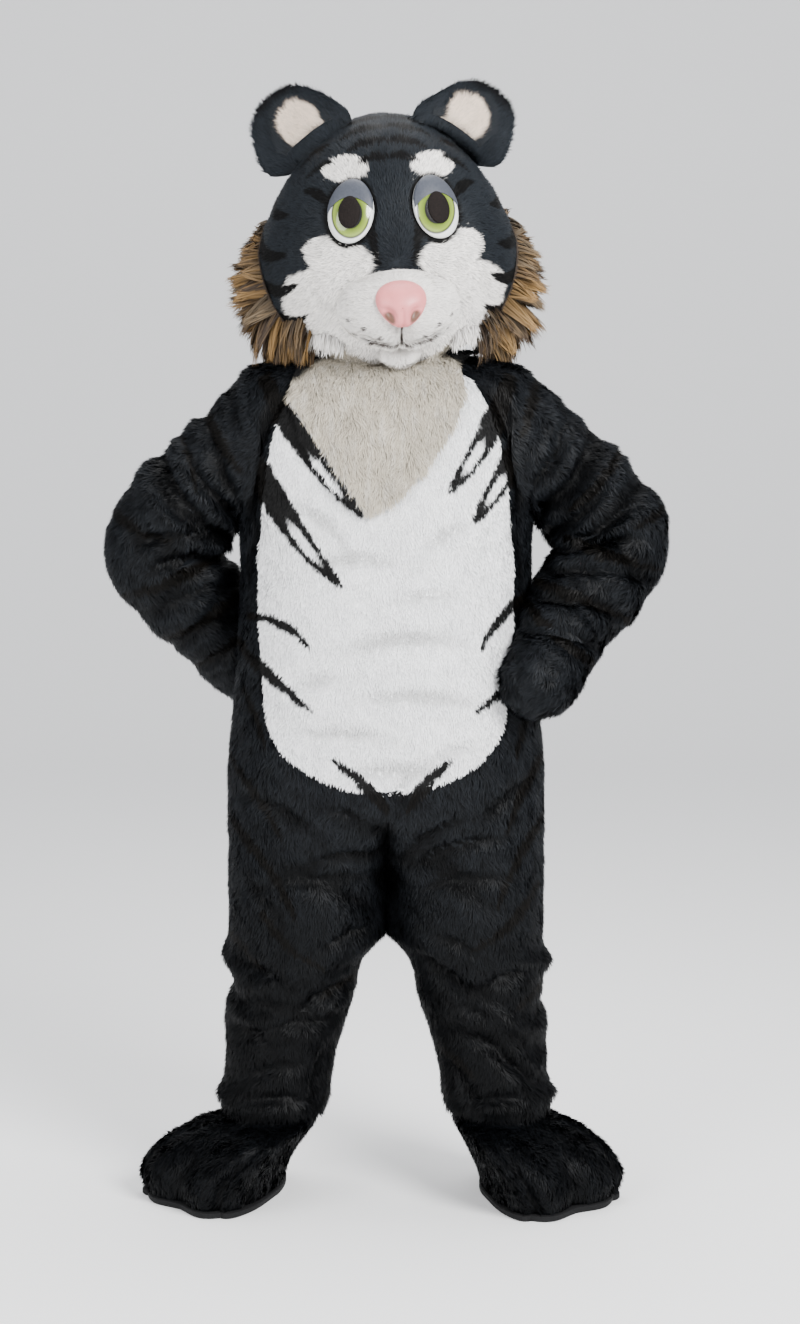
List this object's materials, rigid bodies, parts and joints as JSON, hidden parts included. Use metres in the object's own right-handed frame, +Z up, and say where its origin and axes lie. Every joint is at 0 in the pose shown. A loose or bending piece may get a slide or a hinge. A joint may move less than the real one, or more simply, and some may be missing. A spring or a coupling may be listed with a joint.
{
  "type": "tiger mascot costume",
  "caption": "Hollow faux-fur tiger mascot costume, worn hands on hips: striped suit with pale belly, mitts, paw feet, and a big round head with ears and cheek ruffs.",
  "frame": {"origin": "between the wearer's shoulders, 1.42 m above the floor, where the wearer holds the costume up", "axes": "+Z up, the front faces -Y, the wearer's left side is +X"},
  "size_m": [0.9904, 0.513, 1.9509],
  "materials": {
    "fur_black": "short charcoal-black faux fur with black stripes",
    "fur_white": "short white faux fur",
    "fur_cream": "short cream faux fur",
    "fur_slate": "short slate-grey faux fur",
    "fur_tan": "long tan and grey faux fur in locks",
    "sole_rubber": "dark rubber sheet",
    "nose_vinyl": "smooth pink vinyl",
    "eye_plastic": "glossy eye dome with a green ring",
    "eye_mesh": "dark brown see-through mesh"
  },
  "bodies": {
    "root": {"belly_panel": "fur_white", "front_right": "fur_black", "front_left": "fur_black", "back_right": "fur_black", "back_left": "fur_black", "sleeve_right": "fur_black", "sleeve_left": "fur_black", "mitt_right": "fur_black", "mitt_left": "fur_black", "foot_right": "fur_black", "foot_left": "fur_black", "sole_right": "sole_rubber", "sole_left": "sole_rubber", "ear_right": "fur_slate", "ear_left": "fur_slate", "inner_ear_right": "fur_cream", "inner_ear_left": "fur_cream", "ruff_right": "fur_tan", "ruff_left": "fur_tan", "eye_right": "eye_plastic", "eye_left": "eye_plastic", "pupil_right": "eye_mesh", "pupil_left": "eye_mesh", "head_face": "fur_white", "head_back": "fur_slate", "muzzle": "fur_white", "chin": "fur_white", "nose": "nose_vinyl", "neck_bib": "fur_cream", "neck_collar": "fur_black"}
  },
  "joints": []
}
